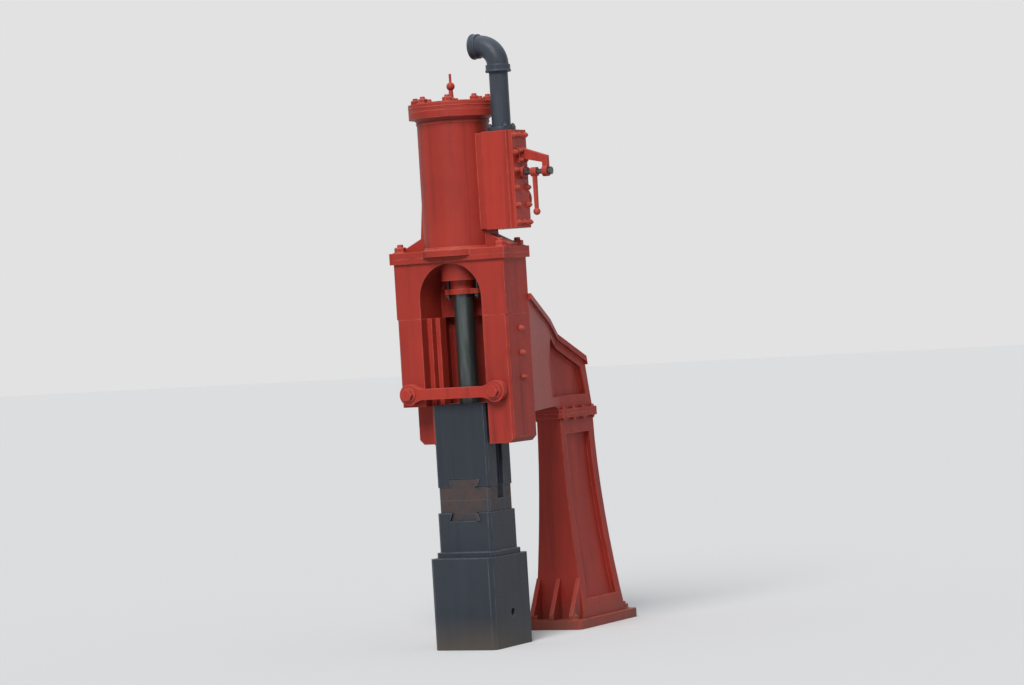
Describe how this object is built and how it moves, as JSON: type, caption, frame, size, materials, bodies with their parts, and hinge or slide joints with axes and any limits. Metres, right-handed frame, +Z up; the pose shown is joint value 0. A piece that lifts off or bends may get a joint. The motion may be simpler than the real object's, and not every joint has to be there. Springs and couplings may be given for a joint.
{
  "type": "single-standard steam hammer",
  "caption": "Steam hammer with one tapered standard: an upright cylinder over guides and a sliding ram, with a separate anvil block in front.",
  "frame": {"origin": "on the ground under the axis of the ram and the cylinder", "axes": "+Z up along the axis of the ram, -Y toward the front, away from the standard, +X toward the steam chest"},
  "size_m": [0.821, 1.496, 2.8783],
  "materials": {
    "red_paint": "satin",
    "red_fittings": "satin",
    "anvil_iron": "satin",
    "pallet_steel": "matte",
    "bright_steel": "satin",
    "pipe_iron": "satin"
  },
  "bodies": {
    "frame": {"left_jaw": "red_paint", "right_jaw": "red_paint", "guide_head": "red_paint", "cylinder": "red_paint", "cylinder_cover": "red_paint", "stuffing_box": "red_paint", "standard_column": "red_paint", "standard_arm": "red_paint", "foot_plate": "red_paint", "foot_ribs": "red_paint", "crossbar": "red_fittings", "crossbar_bolts": "red_fittings", "left_guide": "red_fittings", "right_guide": "red_fittings", "gland": "red_fittings", "drain_cock": "red_fittings", "valve_chest": "red_fittings", "chest_cover": "red_fittings", "exhaust_branch": "red_fittings", "lever_bracket": "red_fittings", "anvil_block": "anvil_iron", "anvil_cap": "anvil_iron", "anvil_pallet": "pallet_steel", "anvil_key": "pallet_steel", "gland_studs": "bright_steel", "steam_riser": "pipe_iron", "steam_elbow": "pipe_iron"},
    "ram": {"ram": "anvil_iron", "ram_pallet": "pallet_steel", "ram_key": "pallet_steel", "piston_rod": "bright_steel", "piston": "bright_steel"},
    "valve_lever": {"valve_spindle": "bright_steel", "hand_lever": "red_fittings"}
  },
  "joints": [
    {"name": "ram_lift", "type": "slide", "parent": "frame", "child": "ram", "axis": [0, 0, 1], "range_m": [0, 0.4]},
    {"name": "lever_swing", "type": "hinge", "parent": "frame", "child": "valve_lever", "pos_m": [0.348, 0, 2.2133], "axis": [1, 0, 0], "range_deg": [-30, 30]}
  ]
}
